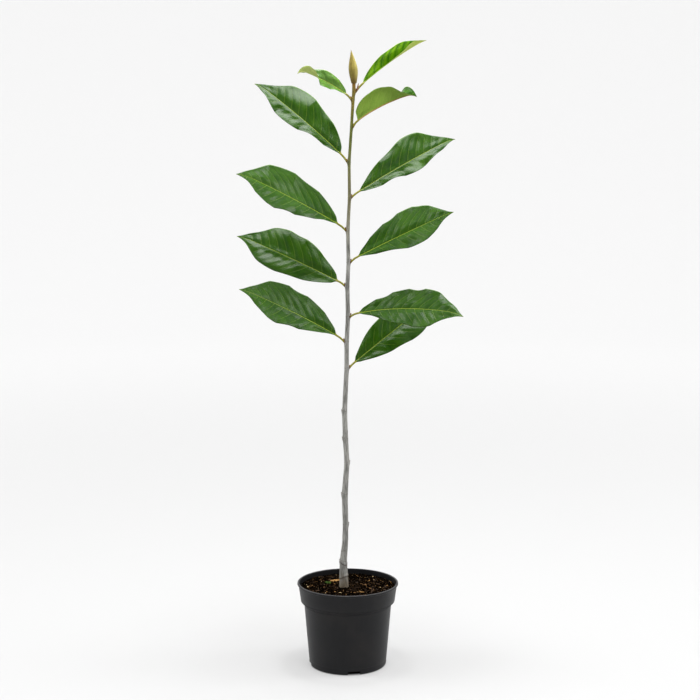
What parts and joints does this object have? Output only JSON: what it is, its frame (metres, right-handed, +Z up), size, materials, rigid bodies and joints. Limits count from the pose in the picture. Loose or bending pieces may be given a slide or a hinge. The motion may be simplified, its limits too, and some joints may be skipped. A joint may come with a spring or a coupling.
{
  "type": "young potted magnolia tree",
  "caption": "Young single-stemmed magnolia in a round nursery pot: slender trunk, alternate long leaves in two ranks, pointed terminal bud",
  "frame": {"origin": "middle of the pot's flat underside, on the ground", "axes": "+Z up along the trunk, the two ranks of leaves to -X and +X, and the front of the plant towards -Y"},
  "size_m": [0.4132, 0.2255, 1.1662],
  "materials": {
    "pot": "charcoal black moulded polypropylene, finely matt, with a soft sheen at the sides",
    "potting_mix": "dark moist peat with tan bark chips and pale granules",
    "bark": "smooth grey young bark with fine grain and old leaf scars, turning olive green near the tip",
    "bud": "velvety olive yellow bud scale, browner at its foot",
    "leaf": "glossy deep green upper face with yellow green midrib and sunken side veins, paler matt underside",
    "young_leaf": "softer yellow green young leaf with a pale underside"
  },
  "bodies": {
    "root": {"pot": "pot", "potting_mix": "potting_mix", "trunk": "bark", "terminal_bud": "bud", "leaf_1": "leaf", "leaf_2": "leaf", "leaf_3": "leaf", "leaf_4": "leaf", "leaf_5": "leaf", "leaf_6": "leaf", "leaf_7": "leaf", "leaf_8": "leaf", "leaf_9": "young_leaf", "leaf_10": "young_leaf", "leaf_11": "young_leaf"}
  },
  "joints": []
}
